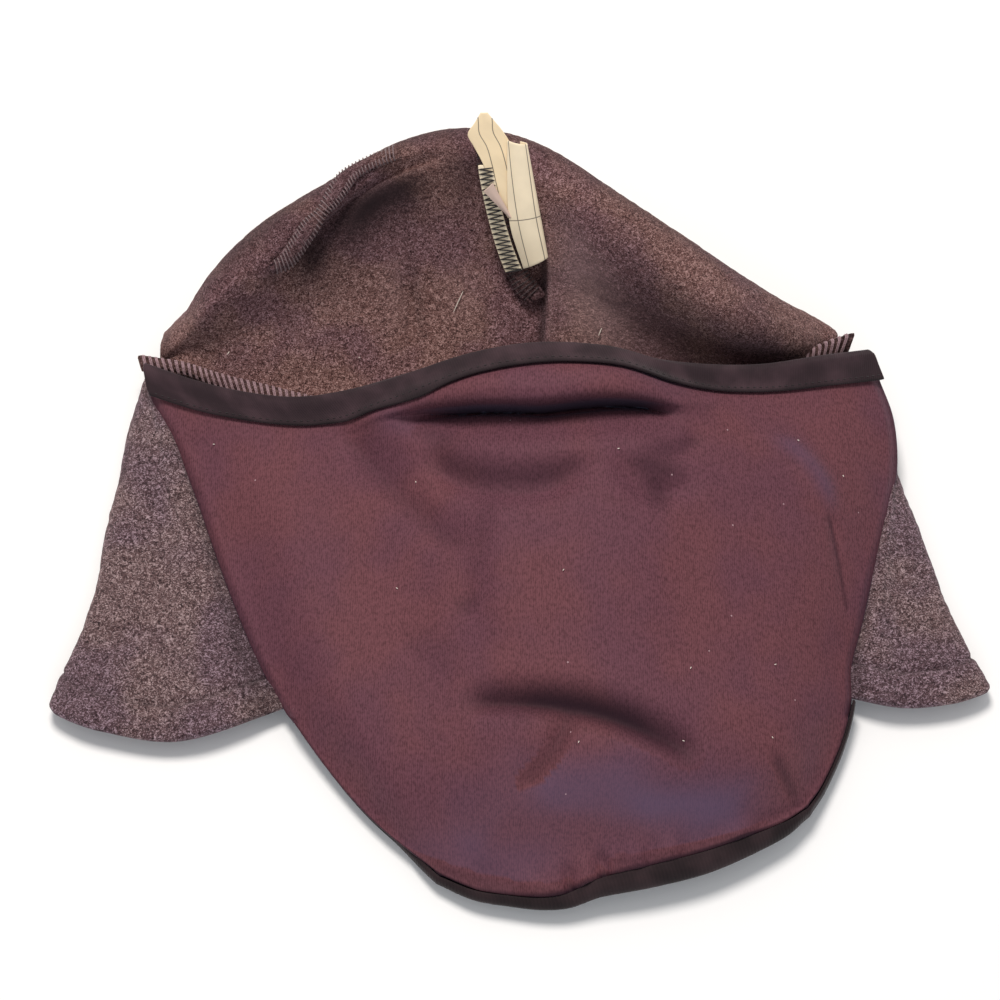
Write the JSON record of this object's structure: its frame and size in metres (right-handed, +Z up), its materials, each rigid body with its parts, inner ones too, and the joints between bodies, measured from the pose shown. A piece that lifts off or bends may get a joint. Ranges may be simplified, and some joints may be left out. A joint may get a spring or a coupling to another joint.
{
  "type": "fleece hood with face mask",
  "caption": "Fleece cold-weather hood lying flat: turned-back crown, neck with side flaps, smooth face mask with bound top edge and rounded bib.",
  "frame": {"origin": "on the underside of the neck's nape layer, where it lies flat on the surface", "axes": "+Z up, +Y from the bib towards the crown, +X to the right as seen from the bib"},
  "size_m": [0.3124, 0.3019, 0.0816],
  "materials": {
    "fleece": "heathered brown-grey pile fleece, matt, short nap",
    "mask_cloth": "smooth plum stretch knit with fine upright wales and a soft sheen",
    "binding": "black knitted tape and facing, matt",
    "label": "cream woven tape, unprinted but for plain ruled lines"
  },
  "bodies": {
    "root": {"crown": "fleece", "neck": "fleece", "face_mask": "mask_cloth", "mask_binding": "binding", "bib_facing": "binding", "nape_seam": "fleece", "dart_left": "fleece", "dart_centre": "fleece", "label_front": "label", "label_back": "label"}
  },
  "joints": []
}
